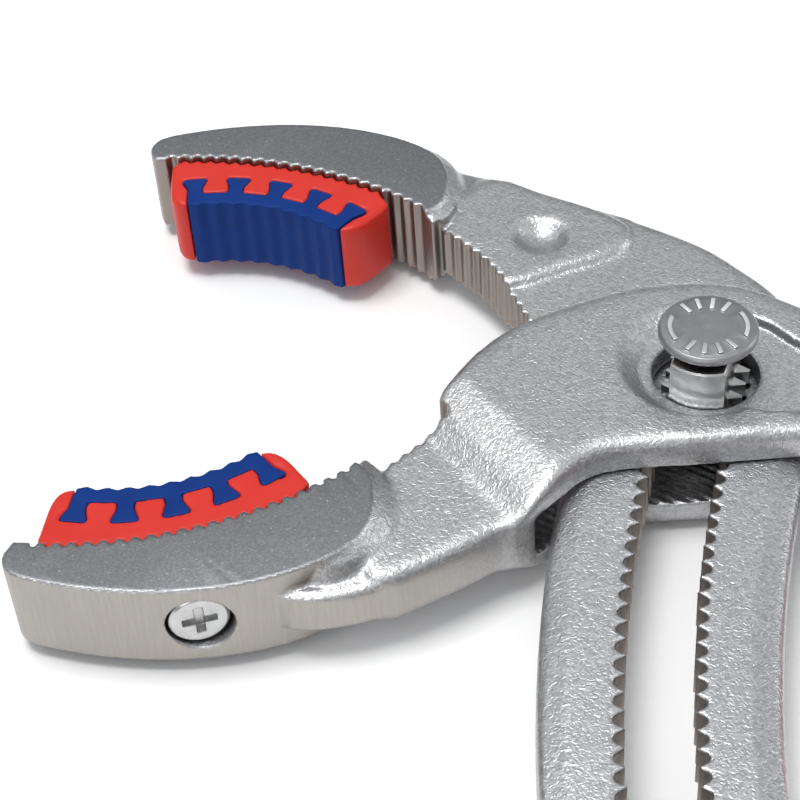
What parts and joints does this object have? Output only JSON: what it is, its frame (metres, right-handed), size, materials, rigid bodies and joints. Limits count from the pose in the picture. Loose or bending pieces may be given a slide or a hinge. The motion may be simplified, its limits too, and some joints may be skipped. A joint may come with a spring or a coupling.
{
  "type": "pipe gripping pliers",
  "caption": "Curved-jaw gripping pliers with replaceable plastic jaw pads, a box joint, a toothed adjusting slot and a push-button pivot.",
  "frame": {"origin": "on the pivot axis, on the pivot stud's flat lower face", "axes": "+Z along the pivot axis towards the push button; -X towards the jaws; the inner lever's handle runs along -Y"},
  "size_m": [0.2428, 0.2415, 0.0218],
  "materials": {
    "forging": "chrome-plated forging, fine-grained, ground on the jaw sides",
    "bright_steel": "turned and plated",
    "spring_steel": "plain",
    "pad_red": "moulded, half-gloss",
    "pad_blue": "moulded, matt",
    "grip_red": "dipped vinyl"
  },
  "bodies": {
    "outer": {"outer_lever": "forging", "lower_pad_carrier": "pad_red", "lower_pad_insert": "pad_blue", "lower_pad_nut": "spring_steel", "lower_pad_screw": "bright_steel", "outer_grip_sleeve": "grip_red"},
    "pivot": {"pivot_stud": "bright_steel", "stud_clip": "spring_steel", "return_spring": "spring_steel"},
    "bolt": {"locking_bolt": "bright_steel", "push_button": "bright_steel"},
    "inner": {"inner_lever": "forging", "upper_pad_carrier": "pad_red", "upper_pad_insert": "pad_blue", "upper_pad_nut": "spring_steel", "upper_pad_screw": "bright_steel", "inner_grip_sleeve": "grip_red"}
  },
  "joints": [
    {"name": "open_close", "type": "hinge", "parent": "outer", "child": "pivot", "pos_m": [0, 0, 0], "axis": [0, 0, 1], "range_deg": [0, 38]},
    {"name": "adjust", "type": "hinge", "parent": "pivot", "child": "inner", "pos_m": [0.19642, -0.07816, 0], "axis": [0, 0, -1], "range_deg": [0, 16.26]},
    {"name": "button_press", "type": "slide", "parent": "pivot", "child": "bolt", "axis": [0, 0, -1], "range_m": [0, 0.0044], "stiffness_N_per_m": 500, "springref_m": -0.003, "deforming": ["return_spring"]}
  ]
}
